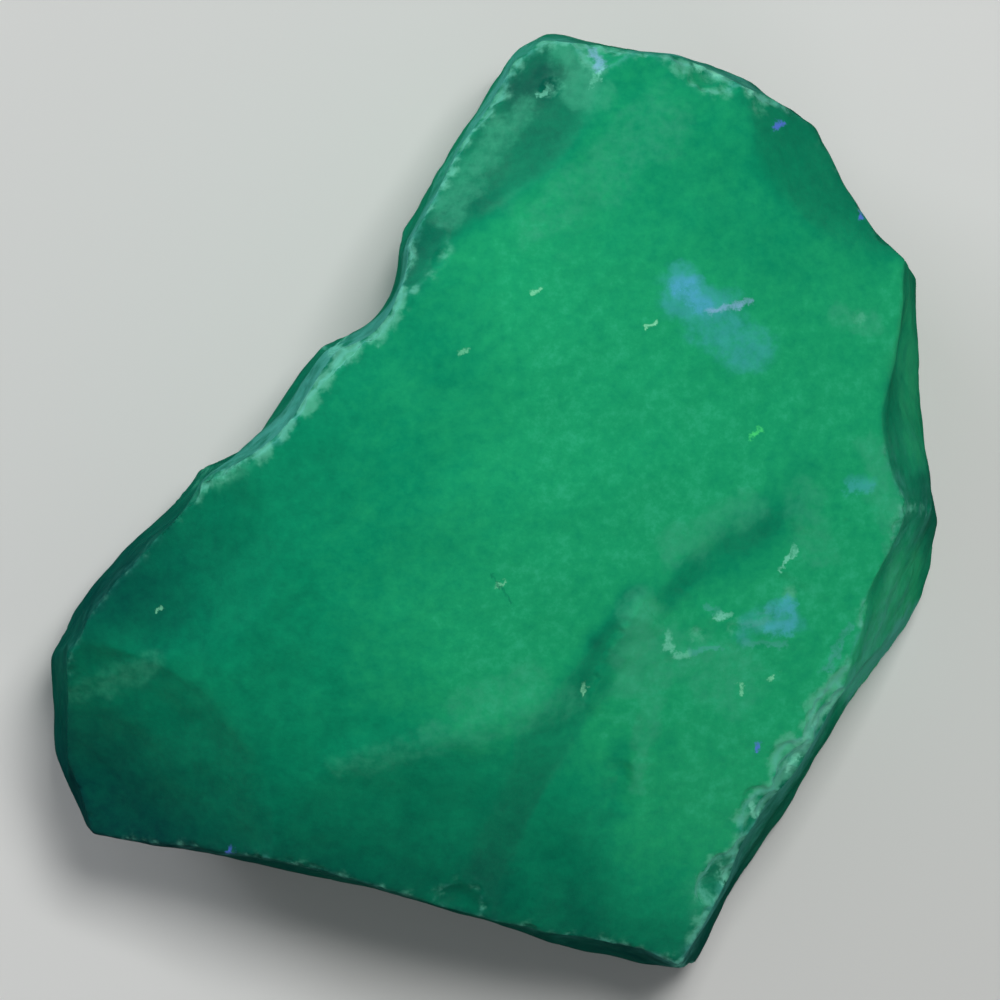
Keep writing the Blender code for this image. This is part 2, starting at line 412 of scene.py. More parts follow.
def edge_wear_and_glint(points):
    """How worn an edge at each point would be, and how pale its painted glint, 0 to 1."""
    wear = np.full(len(points), LEAST_WEAR)
    for start, end, width, strength in EDGE_WEAR_AND_GLINT:
        away = from_line(points, start, end)[0]
        wear = np.maximum(wear, strength * np.clip(WEAR_END - away / width, 0, 1))
    return wear


wear = edge_wear_and_glint(points)
print("wear:", float(wear.min()), "to", float(wear.max()))

# %% [markdown]
# ## Chips along the ridges
# Each chip is a shallow round scoop, like a thumbnail, struck out of a ridge. A sphere held
# mostly outside the lump takes it away: points inside the sphere move in to its far side. Their
# places come from the ridge points of the skin, more of them where the edges are worn, and a
# fixed seed keeps them the same on every run.

# %% Choose the ridge points that are chipped
CHIP_COUNT = 520
SHARP_TURN = 0.6
ON_RIDGE = 0.12
ABOVE_REST = 1.0
SCOOP_RADIUS = (0.6, 1.9)
SCOOP_DEPTH = (0.04, 0.15)
SCOOP_TILT = 0.18

random = np.random.default_rng(SEED + 1)
normals = slope / np.linalg.norm(slope, axis=1)[:, None]
sharp = (from_ridge < ON_RIDGE) & (turn > SHARP_TURN)
on_ridge = np.nonzero(sharp & (points[:, 2] > ABOVE_REST))[0]
chance = (0.12 + 1.6 * edge_wear_and_glint(points[on_ridge])) * turn[on_ridge]
picks = random.choice(on_ridge, size=CHIP_COUNT, replace=False, p=chance / chance.sum())
wear = edge_wear_and_glint(points[picks])
scoops = []
for pick, worn in zip(picks, wear):
    radius = random.uniform(*SCOOP_RADIUS) * (0.8 + 0.4 * worn)
    depth = random.uniform(*SCOOP_DEPTH) * (0.7 + worn)
    tilt = normals[pick] + random.normal(size=3) * SCOOP_TILT
    tilt /= np.linalg.norm(tilt)
    scoops.append((points[pick], tilt, radius, depth, worn))
print("chips:", len(scoops))

# %% A few scoops given one by one, where the photograph shows them
HAND_SCOOPS = [
    (22.4, -9.8, 1.9, 0.28),
    (19.8, -10.4, 1.4, 0.20),
    (24.4, -7.6, 1.3, 0.18),
    (16.6, -11.0, 1.4, 0.20),
    (4.6, 35.0, 1.8, 0.30),
    (8.4, 36.8, 2.2, 0.25),
    (17.8, 36.0, 1.6, 0.25),
    (22.0, 33.4, 1.8, 0.22),
    (30.4, 15.6, 1.6, 0.14),
]
LOOKS_UP = 0.35
HAND_WEAR = 0.3

upward = np.nonzero(normals[:, 2] > LOOKS_UP)[0]
for x, y, radius, depth in HAND_SCOOPS:
    away = np.hypot(points[upward, 0] - x, points[upward, 1] - y)
    pick = upward[away.argmin()]
    scoops.append((points[pick], normals[pick], radius, depth, HAND_WEAR))
print("chips with those by hand:", len(scoops))

# %% Take the chips out of the skin


def take_out(points, scoops):
    """Move the points inside each chip's sphere to its far side, and say how deep each was cut."""
    cut = np.zeros(len(points))
    for place, way, radius, depth, _ in scoops:
        centre = place + way * (radius - depth)
        near = np.nonzero(np.abs(points - centre).max(axis=1) < radius)[0]
        out = points[near] - centre
        along = out @ way
        gap = radius * radius - (out * out).sum(axis=1)
        inside = (gap > 0) & (along < 0)
        near = near[inside]
        move = along[inside] + np.sqrt(along[inside] ** 2 + gap[inside])
        points[near] -= move[:, None] * way
        cut[near] += move
    return cut


cut = take_out(points, scoops)
print("points cut by chips:", int((cut > 0).sum()))

# %% [markdown]
# ## Low relief inside the scar
# A flake that stopped short leaves a little cliff, and a blow that splits leaves ribs. They are
# read off the photograph as short lines seen from above: two ends, how wide, how high, and the side
# on which the glass stands higher (1 left of the line, -1 right of it, 0 for a rib on both sides).

# %% Cliffs and ribs
RELIEF = [
    ((11.6, -8.0), (8.6, -13.2), 3.0, 0.42, 1),
    ((8.6, -13.2), (7.0, -17.5), 2.5, 0.25, 1),
    ((11.4, -7.6), (14.1, -10.9), 2.6, 0.34, -1),
    ((14.0, -10.6), (15.0, -12.9), 2.0, 0.30, -1),
    ((14.9, -12.7), (18.6, -11.8), 1.6, 0.26, -1),
    ((15.0, -6.9), (18.8, -9.5), 2.2, 0.30, -1),
    ((18.6, -9.4), (21.0, -10.0), 1.8, 0.32, -1),
    ((20.8, -10.0), (24.6, -8.0), 2.2, 0.34, -1),
    ((23.6, -6.2), (25.0, -3.6), 2.4, 0.30, -1),
    ((24.6, -2.4), (25.4, 1.2), 2.6, 0.26, -1),
    ((12.6, -16.4), (11.6, -24.2), 0.75, 0.34, 0),
    ((10.6, -21.5), (9.9, -26.0), 1.1, -0.26, 0),
    ((6.6, -16.0), (-5.4, -19.8), 1.3, 0.16, 0),
    ((-5.4, -19.8), (-16.0, -22.8), 1.2, 0.14, 0),
    ((29.3, -9.8), (27.0, -14.5), 0.35, 0.16, 0),
    ((18.0, 16.1), (21.9, 16.8), 0.8, 0.12, 1),
    ((-36.5, -15.7), (-29.3, -13.2), 0.6, 0.12, 0),
]
CLIFF_FOOT = 0.3
END_SLOPE = 5
FACES_UP = 0.4


def relief(points):
    """The height of the cliffs and ribs at each point."""
    height = np.zeros(len(points))
    wander = 0.22 * waves(points, 3.2, 81) + 0.10 * waves(points, 1.2, 82)
    for start, end, width, rise, side in RELIEF:
        _, reach, off = from_line(points, start, end)
        off = off + wander
        shape = np.clip(reach * END_SLOPE, 0, 1) * np.clip((1 - reach) * END_SLOPE, 0, 1)
        if side:
            cliff = np.clip(0.5 + side * off / CLIFF_FOOT, 0, 1)
            shape = shape * cliff * np.exp(-np.maximum(side * off, 0) / width)
        else:
            shape = shape * np.exp(-((off / width) ** 2))
        height += rise * shape
    return height


raised = relief(points) * (normals[:, 2] > FACES_UP)
points += normals * raised[:, None]
print("relief, mm:", float(raised.min().round(2)), "to", float(raised.max().round(2)))

# %% [markdown]
# ## Ripples and waviness
# A crack that runs through glass leaves faint ripples round the place where it was struck, and a
# slow unevenness that only shows when light slides over it. Both are far too low to be faces of
# their own, so the points are moved in and out a little along the way out of the lump. The broad
# face is calmer than the walls. The points near the underside stay put, so that it rests flat, and
# the whole skin is sunk a hair, which keeps it inside the solid's box.

# %% Faint ripples from a few struck points
STRIKES = [
    (31.0, 2.0, 30.0),
    (-5.0, 24.0, 31.0),
    (20.0, -1.0, 30.0),
    (-30.0, -20.0, 24.0),
    (8.0, -12.0, 31.0),
    (31.0, -21.0, 5.0),
    (-8.0, -33.0, 22.0),
    (-20.0, 10.0, 12.0),
    (20.0, 36.0, 22.0),
    (38.0, 6.0, 20.0),
    (10.0, -38.0, 4.0),
]
RIPPLE_LENGTH = 2.3
RIPPLE_HEIGHT = 0.022
RIPPLE_REACH = 11.0
RIPPLE_CENTRE = 3.0
CROWN_CALM = 0.35
CALM_FROM = 0.6
CALM_BAND = 0.3
SUNK = 0.03
REST_BAND = 0.4
FLAT_BAND = 0.06
BOX_GAP = 0.005


def ripples(points):
    """Rings round the struck points that fade with distance."""
    height = np.zeros(len(points))
    for i, strike in enumerate(STRIKES):
        away = np.linalg.norm(points - strike, axis=1)
        away += 0.7 * waves(points, 8.0, 60 + i)
        fade = np.exp(-away / RIPPLE_REACH) * np.clip(away / RIPPLE_CENTRE, 0, 1)
        height += np.sin(away * 2 * math.pi / RIPPLE_LENGTH) * fade
    return height


calm = 1 - (1 - CROWN_CALM) * np.clip((normals[:, 2] - CALM_FROM) / CALM_BAND, 0, 1)
unevenness = 0.035 * waves(points, 6.5, 71)
unevenness += 0.016 * waves(points, 2.6, 72)
unevenness += 0.006 * waves(points, 1.1, 73)
height = unevenness + RIPPLE_HEIGHT * calm * ripples(points) - SUNK
height[points[:, 2] <= REST_BAND] = 0.0
points += normals * height[:, None]
points[:, 2] = np.where(points[:, 2] < FLAT_BAND, 0.0, points[:, 2])
points = np.clip(points, low + BOX_GAP, high - BOX_GAP)
points[:, 2] = np.maximum(points[:, 2] - BOX_GAP, 0.0)
mesh.vertices.foreach_set("co", (points * MM).ravel())
mesh.update()
print("waviness, mm:", float(height.min().round(3)), "to", float(height.max().round(3)))

# %% [markdown]
# ## Fewer triangles where nothing happens
# Nearly half a million triangles are more than a part should carry. Collapsing edges takes most of them
# from the flat underside and the calm faces, and leaves the chips and ridges as they are.

# %% Thin the mesh and shade it smooth
TRIANGLES = 188000

triangles = sum(len(p.vertices) - 2 for p in mesh.polygons)
thin = skin.modifiers.new("thin", "DECIMATE")
thin.ratio = TRIANGLES / triangles
thin.use_collapse_triangulate = True
mesh = settle(skin)
mesh.shade_smooth()
mesh.name = "slag_glass_lump"
lump = skin
lump.name = "slag_glass_lump"
print("triangles:", triangles, "->", len(mesh.polygons))

# %% [markdown]
# ## Painted shade on the glass
# The shading is painted into the colour. The lump is painted brightest over its thick middle and
# darker steadily towards the thin left end and towards the front, as a lamp's light falls off, and
# wherever a face turns down at an edge, away from the light. Each of these is a share of the
# light that is lost. What they leave is multiplied, so that two of them together give the nearly
# black corner at the front left. Single darker and paler places are painted shadows and painted
# light, strokes seen from above: two ends and a reach in millimetres, and the share that is lost,
# or given back where it is negative. The result is one number for each point of the mesh, which
# an Attribute node reads. That renders faster than a long chain of nodes, and the fine, ragged
# detail is left to the nodes.

# %% Read the finished skin, and helpers for masks on it
points = np.empty(len(mesh.vertices) * 3)
mesh.vertices.foreach_get("co", points)
points = points.reshape(-1, 3) / MM
normals = np.empty(len(mesh.vertices) * 3)
mesh.vertices.foreach_get("normal", normals)
normals = normals.reshape(-1, 3)
WALL_FROM = 0.55
WALL_BAND = 0.4

*_, from_ridge, turn, painted_shade, on_scar = in_batches(measure, points)
is_wall = np.clip((WALL_FROM - normals[:, 2]) / WALL_BAND, 0, 1)
print("points of the finished skin:", len(points), "of them wall:", int((is_wall > 0.5).sum()))


def write_mask(name, values):
    """Keep one number for each point of the mesh, for an Attribute node to read."""
    made = mesh.attributes.new(name, "FLOAT", "POINT")
    made.data.foreach_set("value", np.clip(values, 0, 1).astype(np.float32))


def smooth_step(values):
    """A slope from 0 to 1 without corners."""
    t = np.clip(values, 0, 1)
    return t * t * (3 - 2 * t)


# %% Painted shade: how much of its light the green keeps
LEFT_START = -1.0
LEFT_LENGTH = 30.0
LEFT_SHADE = 0.61
FRONT_START = -16.0
FRONT_FADE = 23.0
SCAR_FRONT_SHIFT = 11.0
SCAR_LEFT = 6.0
SCAR_EDGE = 6.0
# Strokes of painted shadow, and of painted light where the share is negative.
PAINTED_SHADE_AND_LIGHT = [
    ((24.0, 38.0), (32.0, 28.0), 5.0, 0.14),
    ((32.5, 26.5), (36.5, 19.0), 2.6, 0.24),
    ((37.5, 2.0), (37.5, -6.0), 2.2, 0.40),
    ((25.0, 3.0), (22.8, -2.0), 1.9, 0.14),
    ((22.2, -2.4), (20.6, -5.4), 2.3, 0.09),
    ((20.4, -4.4), (15.4, -6.4), 1.7, 0.07),
    ((16.4, -6.6), (12.6, -7.6), 1.0, 0.12),
    ((15.6, -9.8), (18.0, -10.9), 0.9, 0.08),
    ((11.4, -7.4), (8.2, -11.6), 0.8, 0.38),
    ((8.2, -11.6), (6.6, -16.0), 0.8, 0.20),
    ((10.3, -20.5), (9.6, -26.0), 1.1, 0.22),
    ((13.8, -19.4), (14.6, -21.6), 1.3, 0.10),
    ((1.6, 34.4), (3.6, 36.0), 1.7, 0.40),
    ((-7.0, 21.6), (-1.5, 24.8), 1.6, 0.28),
    ((-37.0, -23.0), (-30.0, -28.5), 5.0, 0.22),
    ((-4.0, 1.5), (-14.0, 4.0), 6.0, 0.10),
    ((8.0, 36.0), (22.0, 28.0), 12.0, 0.19),
    ((12.6, -9.4), (12.0, -13.4), 1.5, -0.42),
    ((36.0, -5.5), (31.6, -14.5), 2.4, -0.85),
    ((34.0, -8.0), (29.0, -13.0), 4.5, -0.16),
    ((34.8, 20.0), (35.8, 4.0), 1.5, -0.50),
    ((-33.0, -14.5), (-25.0, -15.5), 3.6, -0.32),
    ((-7.0, -30.5), (0.0, -32.0), 3.2, 0.20),
    ((-32.0, -7.0), (-24.0, -3.0), 3.2, 0.17),
    ((10.0, -35.5), (14.0, -38.0), 4.0, 0.20),
    ((-15.0, 11.0), (-9.0, 18.0), 3.0, 0.12),
    ((-38.0, -10.0), (-29.0, -8.5), 3.8, 0.20),
    ((-9.0, 17.0), (-3.0, 12.0), 4.2, 0.13),
    ((19.0, -11.5), (25.0, -11.5), 3.4, -0.14),
]

wander = 1.3 * waves(points, 15.0, 91) + 0.4 * waves(points, 4.5, 92)
left = LEFT_SHADE * np.clip((LEFT_START + wander - points[:, 0]) / LEFT_LENGTH, 0, 1)
in_scar = on_scar * smooth_step((points[:, 0] - SCAR_LEFT) / SCAR_EDGE)
front_start = FRONT_START - SCAR_FRONT_SHIFT * in_scar
front = 1 - np.exp(-np.maximum(front_start + wander - points[:, 1], 0) / FRONT_FADE)
kept = (1 - painted_shade) * (1 - left) * (1 - front)
for i, (begin, finish, reach, lost) in enumerate(PAINTED_SHADE_AND_LIGHT):
    away = from_line(points, begin, finish)[0]
    away = away + 0.2 * reach * waves(points, 1.5 + reach, 300 + i, 6)
    kept *= 1 - lost * np.exp(-((np.maximum(away, 0) / reach) ** 2))
write_mask("light", kept)
print("light kept:", float(kept.min().round(2)), "to", float(kept.max().round(2)))

# %% [markdown]
# ## Masks for what lies on the green
# Milky veins run through the glass. Two bluish patches are painted glints, a lamp's reflection off
# cracks that blows left under the skin, and crushed glass clings to the rims as a pale crust, partly
# a painted glint. A mask says where each of them is, from 0 to 1. They could be painted by hand,
# but a few strokes in millimetres are easier to move. Each stroke is seen from above: two ends, half
# a width and a strength. It is full near its middle, and its edge wanders a little.

# %% Milky veins and bluish painted glints on bruises
STROKE_END = 1.5
STROKES = {
    "milk": [
        ((11.9, -9.4), (11.2, -14.5), 1.7, 0.7),
        ((11.9, -13.8), (13.8, -14.6), 1.1, 0.5),
        ((12.9, -16.6), (12.2, -19.6), 1.0, 0.45),
        ((12.2, -19.6), (11.6, -24.0), 0.5, 0.45),
        ((14.0, -12.0), (20.0, -15.0), 2.4, 0.4),
        ((14.7, -3.6), (20.6, -0.4), 1.5, 0.5),
        ((25.6, 0.0), (26.6, -4.0), 1.6, 0.35),
        ((6.0, -16.4), (-5.4, -19.8), 1.3, 0.30),
        ((-5.4, -19.8), (-13.0, -22.2), 1.1, 0.22),
        ((3.0, -15.0), (-3.0, -17.4), 1.6, 0.3),
        ((31.5, 4.0), (33.6, -2.0), 1.4, 0.5),
        ((33.4, -2.0), (33.2, -8.0), 0.8, 0.5),
        ((2.0, 33.0), (-3.4, 26.4), 1.1, 0.5),
        ((6.6, 37.4), (7.4, 34.6), 1.8, 0.8),
        ((-2.6, 27.0), (-4.0, 24.6), 1.4, 0.5),
        ((4.0, 24.0), (14.0, 32.0), 2.4, 0.3),
        ((-33.0, -15.0), (-29.3, -13.6), 1.1, 0.32),
        ((-36.0, -16.2), (-33.0, -15.0), 0.8, 0.24),
        ((-26.0, 2.0), (-22.0, 3.4), 1.2, 0.6),
        ((26.0, -26.0), (18.0, -34.0), 2.0, 0.4),
        ((28.5, 15.8), (31.5, 15.0), 0.9, 0.5),
    ],
    "bruise_glint": [
        ((15.2, 17.6), (17.4, 16.4), 1.9, 0.75),
        ((17.6, 15.6), (20.8, 13.0), 2.1, 0.55),
        ((20.8, -10.4), (24.4, -9.6), 1.2, 0.40),
    ],
}


def stroke_mask(points, strokes):
    """The strongest stroke at each point, with a soft and slightly wandering edge."""
    mask = np.zeros(len(points))
    for i, (begin, finish, width, strength) in enumerate(strokes):
        away = from_line(points, begin, finish)[0]
        away = away + 0.25 * width * waves(points, 1.5 + width, 100 + i, 6)
        mask = np.maximum(mask, strength * smooth_step(STROKE_END - away / width))
    return mask


for name, strokes in STROKES.items():
    write_mask(name, stroke_mask(points, strokes) * (1 - is_wall))
    print(name, "strokes:", len(strokes))

# %% [markdown]
# The walls are painted pale where their upper rim is crumbled, partly a crust of crushed glass and
# partly a painted glint along the edge. It thins out downwards and ends a finger's width under the
# broad face, and what is worn lower down is less pale. At the lower right the rim is a low one and
# has a stroke of its own, of the same pale crust and painted glint.

# %% Worn ridges, crust and chips, each partly a painted glint, and walls


def chip_mask(points):
    """1 in the middle of a chip and 0 a little outside it, weaker where the edge is hardly worn."""
    mask = np.zeros(len(points))
    for place, way, radius, depth, worn in scoops:
        reach = math.sqrt(2 * radius * depth)
        away = np.linalg.norm(points - place, axis=1) / reach
        mask = np.maximum(mask, worn * np.clip(STROKE_END - away, 0, 1))
    return mask


CRUST_DEPTH = 15.0
LOW_PALE = 0.3
RIDGE_WIDTH = 0.28
RIDGE_TURN = 0.35
RIDGE_BAND = 0.5
OUTER_RIM = [
    ((0.2, 35.7), (-4.5, 27.7), 1.2, 0.75),
    ((-4.5, 27.7), (-7.7, 23.0), 1.3, 0.9),
    ((-7.7, 23.0), (-8.9, 17.4), 1.2, 0.9),
    ((-8.9, 17.4), (-14.6, 13.6), 1.1, 0.85),
    ((-14.6, 13.6), (-20.3, 6.3), 1.3, 0.85),
    ((-20.3, 6.3), (-25.2, 2.8), 1.1, 0.7),
]
LOW_RIM = [((36.2, -9.2), (29.8, -16.3), 0.8, 0.9)]

sharp = np.clip((turn - RIDGE_TURN) / RIDGE_BAND, 0, 1)
under_crown = -one_face(points, faces[1][0])[0]
near_rim = smooth_step(1.1 - under_crown / CRUST_DEPTH)
paler = LOW_PALE + (1 - LOW_PALE) * near_rim
crumbled_and_glint = np.maximum(edge_wear_and_glint(points), stroke_mask(points, OUTER_RIM))
uneven = 0.85 + 0.25 * waves(points, 4.0, 95)
write_mask("ridge", np.exp(-from_ridge / RIDGE_WIDTH) * sharp * edge_wear_and_glint(points) * paler)
crust_and_glint = np.maximum(near_rim * crumbled_and_glint, stroke_mask(points, LOW_RIM))
write_mask("crust_and_glint", is_wall * crust_and_glint * uneven)
write_mask("chip", chip_mask(points) * paler)
write_mask("wall", is_wall)
print("masks:", [a.name for a in mesh.attributes if a.data_type == "FLOAT"])

# %% [markdown]
# ## Node groups for the glass
# The ragged edge of a mask and the flecks of lint are used many times with other values, and the
# clouds change both the colour and the gloss. Each is a node group: a box of nodes with named
# inputs and outputs. The groups only put out masks; the shader itself stays in the material.

# %% Helpers for colours and for making groups and nodes


def srgb(red, green, blue):
    """A colour named by its screen values, 0 to 255, in the linear numbers that shaders use."""
    line = [c / 255 for c in (red, green, blue)]
    return tuple(c / 12.92 if c <= 0.04045 else ((c + 0.055) / 1.055) ** 2.4 for c in line) + (1.0,)


def new_group(name, inputs, output):
    """A node group with named inputs, one output and nothing between them yet."""
    group = bpy.data.node_groups.new(name, "ShaderNodeTree")
    for label, kind, value in inputs:
        socket = group.interface.new_socket(label, in_out="INPUT", socket_type=kind)
        socket.default_value = value
    group.interface.new_socket(output, in_out="OUTPUT", socket_type="NodeSocketFloat")
    start = group.nodes.new("NodeGroupInput")
    end = group.nodes.new("NodeGroupOutput")
    return group, start, end


def add(tree, kind, settings=(), **values):
    """A node with some settings and input values."""
    node = tree.nodes.new(kind)
    for key, value in dict(settings).items():
        setattr(node, key, value)
    for key, value in values.items():
        node.inputs[key.replace("_", " ")].default_value = value
    return node


print("mid grey in linear numbers:", round(srgb(128, 128, 128)[0], 3))

# %% Helpers for the nodes that come up again and again


def feed(tree, value, socket):
    """Give a socket another socket to follow, or a plain value."""
    if isinstance(value, bpy.types.NodeSocket):
        tree.links.new(value, socket)
    else:
        socket.default_value = value


def maths(tree, operation, *values, clamp=False):
    """The result of a maths node; each value is a socket or a number."""
    node = add(tree, "ShaderNodeMath", {"operation": operation, "use_clamp": clamp})
    for value, socket in zip(values, node.inputs):
        feed(tree, value, socket)
    return node.outputs[0]


def vector_maths(tree, operation, *values, output="Vector"):
    """The result of a vector maths node; each value is a socket or three numbers."""
    node = add(tree, "ShaderNodeVectorMath", {"operation": operation})
    for value, socket in zip(values, node.inputs):
        feed(tree, value, socket)
    return node.outputs[output]


def spread(tree, value, settings=(), **ends):
    """A value taken from one range to another; each end is a socket or a number."""
    node = add(tree, "ShaderNodeMapRange", settings)
    feed(tree, value, node.inputs["Value"])
    for key, end_value in ends.items():
        feed(tree, end_value, node.inputs[key.replace("_", " ")])
    return node.outputs["Result"]


def noise(tree, place, **values):
    """A noise node that is read at a place."""
    node = add(tree, "ShaderNodeTexNoise", **values)
    tree.links.new(place, node.inputs["Vector"])
    return node


FLOAT = "NodeSocketFloat"
VECTOR = "NodeSocketVector"
SMOOTH = {"interpolation_type": "SMOOTHSTEP"}
print("helpers:", [helper.__name__ for helper in (feed, maths, vector_maths, spread, noise)])

# %% The cloud group: soft patches of one size
cloud, start, end = new_group(
    "cloud",
    [("Place", VECTOR, (0, 0, 0)), ("Scale", FLOAT, 80.0), ("From", FLOAT, 0.35), ("To", FLOAT, 0.65)],
    "Mask",
)
patches = noise(cloud, start.outputs["Place"], Detail=2.5, Roughness=0.55)
cloud.links.new(start.outputs["Scale"], patches.inputs["Scale"])
ends = {"From_Min": start.outputs["From"], "From_Max": start.outputs["To"]}
cloud.links.new(spread(cloud, patches.outputs["Fac"], SMOOTH, **ends), end.inputs["Mask"])
print("nodes in cloud:", len(cloud.nodes))

# %% [markdown]
# The noise pushes a mask up and down, and what then lies above a threshold is the torn mask. Where
# the mask itself is nearly nothing the torn one is held down with it, because the noise alone
# would crackle all over the lump.

# %% The frayed group: breaks the soft edge of a mask into a ragged one
NOISE_MIDDLE = 0.5
THRESHOLD = 0.4
FULL_FROM = 0.2

frayed, start, end = new_group(
    "frayed",
    [("Mask", FLOAT, 0.0), ("Noise", FLOAT, 0.5), ("Fray", FLOAT, 0.8), ("Softness", FLOAT, 0.2)],
    "Mask",
)
mask = start.outputs["Mask"]
softness = start.outputs["Softness"]
centred = maths(frayed, "SUBTRACT", start.outputs["Noise"], NOISE_MIDDLE)
pushed = maths(frayed, "MULTIPLY_ADD", centred, start.outputs["Fray"], mask)
inner = maths(frayed, "SUBTRACT", THRESHOLD, softness)
outer = maths(frayed, "ADD", THRESHOLD, softness)
own_area = maths(frayed, "MULTIPLY", mask, 1 / FULL_FROM, clamp=True)
ragged = spread(frayed, pushed, SMOOTH, From_Min=inner, From_Max=outer, To_Max=own_area)
frayed.links.new(ragged, end.inputs["Mask"])
print("nodes in frayed:", len(frayed.nodes))

# %% The fleck group: a short thin line between two points
fleck, start, end = new_group(
    "fleck",
    [
        ("Place", VECTOR, (0, 0, 0)),
        ("From", VECTOR, (0, 0, 0)),
        ("Along", VECTOR, (0.001, 0, 0)),
        ("Width", FLOAT, 0.0002),
        ("Strength", FLOAT, 1.0),
        ("Fade", FLOAT, 1.0),
    ],
    "Mask",
)
along = start.outputs["Along"]
step = vector_maths(fleck, "SUBTRACT", start.outputs["Place"], start.outputs["From"])
over = vector_maths(fleck, "DOT_PRODUCT", step, along, output="Value")
squared = vector_maths(fleck, "DOT_PRODUCT", along, along, output="Value")
share = maths(fleck, "DIVIDE", over, squared, clamp=True)
foot = add(fleck, "ShaderNodeVectorMath", {"operation": "SCALE"})
fleck.links.new(along, foot.inputs[0])
fleck.links.new(share, foot.inputs["Scale"])
gap = vector_maths(fleck, "DISTANCE", step, foot.outputs[0], output="Value")
ratio = maths(fleck, "DIVIDE", gap, start.outputs["Width"])
ends = {"From_Min": 0.3, "From_Max": 1.4, "To_Min": start.outputs["Strength"], "To_Max": 0.0}
line = spread(fleck, ratio, SMOOTH, **ends)
fleck.links.new(maths(fleck, "MULTIPLY", line, start.outputs["Fade"]), end.inputs["Mask"])
print("groups:", [g.name for g in bpy.data.node_groups])

# %% [markdown]
# ## The glass
# Slag glass is opaque or nearly so: light goes in a little way and comes back green. The body is
# a bright sea green with milky veins. It is painted deeper and bluer towards the left end, which is
# painted shade. Two bluish patches are painted glints on bruises, and the pale chipped edges are
# partly painted glints too. It has a satin, waxy skin. A full subsurface shader would cost time and
# is lost on export, so a faint glow in the same green stands in for the light that comes back out.

# %% Colours, and small helpers for laying them
# TEAL, CLEAR, DEEP and DEEPEST are darker copies of JADE that carry the painted shade.
JADE = srgb(24, 155, 103)
MILKY = srgb(62, 164, 128)
CLEAR = srgb(6, 134, 95)
TEAL = srgb(2, 113, 83)
DEEP = srgb(2, 52, 54)
DEEPEST = srgb(2, 20, 30)
BRIGHTEST = srgb(38, 166, 118)
# The three colours below are painted bluish glints, a lamp's reflection off cracks under the skin.
BRUISE_GLINT = srgb(66, 164, 176)
BLUE_GLINT = srgb(84, 164, 214)
LILAC_GLINT = srgb(124, 172, 206)
# PALE and RIM are partly the colour of crushed glass and partly a painted glint on the edges.
PALE = srgb(116, 206, 176)
RIM = srgb(70, 160, 148)

glass = bpy.data.materials.new("slag_glass")
glass.use_nodes = True
tree = glass.node_tree
shader = tree.nodes["Principled BSDF"]
place = add(tree, "ShaderNodeTexCoord").outputs["Object"]

# The mix node has inputs for each kind of value; these are the two colours and the mixed one.
COLOUR_BELOW = 6
COLOUR_OVER = 7
COLOUR_OUT = 2


def masked(colour_socket, colour, mask_socket, strength=1.0):
    """Lay a colour over what is below it, where the mask is white."""
    if strength != 1.0:
        mask_socket = maths(tree, "MULTIPLY", mask_socket, strength)
    mix = add(tree, "ShaderNodeMix", {"data_type": "RGBA"})
    mix.inputs[COLOUR_OVER].default_value = colour
    tree.links.new(mask_socket, mix.inputs[0])
    tree.links.new(colour_socket, mix.inputs[COLOUR_BELOW])
    return mix.outputs[COLOUR_OUT]


def use_group(group, **values):
    """Place a group in the material; a value is a socket to link or a number to set."""
    node = add(tree, "ShaderNodeGroup", {"node_tree": group})
    for key, value in values.items():
        feed(tree, value, node.inputs[key])
    return node.outputs["Mask"]


def attribute(name):
    """A mask that was written on the mesh."""
    return add(tree, "ShaderNodeAttribute", {"attribute_name": name}).outputs["Fac"]


print("material:", glass.name)

# %% [markdown]
# The light that each point keeps, which is painted shade, picks a green from a ramp: the lit green
# and darker copies of it. Clouds and fine specks make it a little more or less first. The greens of
# the ramp are squeezed into its lower part, which leaves headroom for the specks that are brighter
# than the glass. Dust is the same everywhere, so it shows most where the glass is dark.

# %% The body of the glass: its painted shade, broken up by clouds and a fine mottling
HEADROOM = 0.88
DUST = 0.10
SHADE_RAMP = ((0.11, DEEP), (0.49, TEAL), (0.72, CLEAR), (1.0, JADE))

clouds = use_group(cloud, Place=place, Scale=230.0, From=0.30, To=0.70)
cloudy = spread(tree, clouds, To_Min=0.965, To_Max=1.035)
specks = noise(tree, place, Scale=860.0, Detail=4.0, Roughness=0.74).outputs["Fac"]
speckled = spread(tree, specks, From_Min=0.25, From_Max=0.75, To_Min=0.86, To_Max=1.14)
level = maths(tree, "MULTIPLY", attribute("light"), HEADROOM)
level = maths(tree, "MULTIPLY", level, cloudy)
level = maths(tree, "MULTIPLY", level, speckled)
level = maths(tree, "MULTIPLY_ADD", specks, DUST, level)
level = maths(tree, "SUBTRACT", level, DUST / 2)
body = add(tree, "ShaderNodeValToRGB")
stops = body.color_ramp.elements
stops[0].color = DEEPEST
stops[1].color = BRIGHTEST
for kept_share, tint in SHADE_RAMP:
    stops.new(kept_share * HEADROOM).color = tint
tree.links.new(level, body.inputs["Fac"])
colour = body.outputs["Color"]
print("greens in the ramp:", len(stops))

# %% Milk, crust on the walls, worn rims and chips, which are partly painted glints, and bruise glints
# Each row is a mask and its colour, how far and how softly its edge is torn, and its strength.
LAYERS = [
    ("milk", MILKY, 1.6, 0.70, 0.50),
    ("crust_and_glint", RIM, 1.0, 0.45, 0.70),
    ("ridge", RIM, 1.3, 0.40, 0.55),
    ("chip", PALE, 1.9, 0.40, 0.32),
    ("bruise_glint", BRUISE_GLINT, 1.3, 0.60, 0.55),
]
fray = noise(tree, place, Scale=1100.0, Detail=3.0, Roughness=0.62).outputs["Fac"]


def torn(name, fray_size, softness):
    """A mask from the mesh with its edge torn by the shared noise."""
    return use_group(frayed, Mask=attribute(name), Noise=fray, Fray=fray_size, Softness=softness)


for name, tint, fray_size, softness, strength in LAYERS:
    colour = masked(colour, tint, torn(name, fray_size, softness), strength)
print("layers of colour laid:", len(LAYERS))
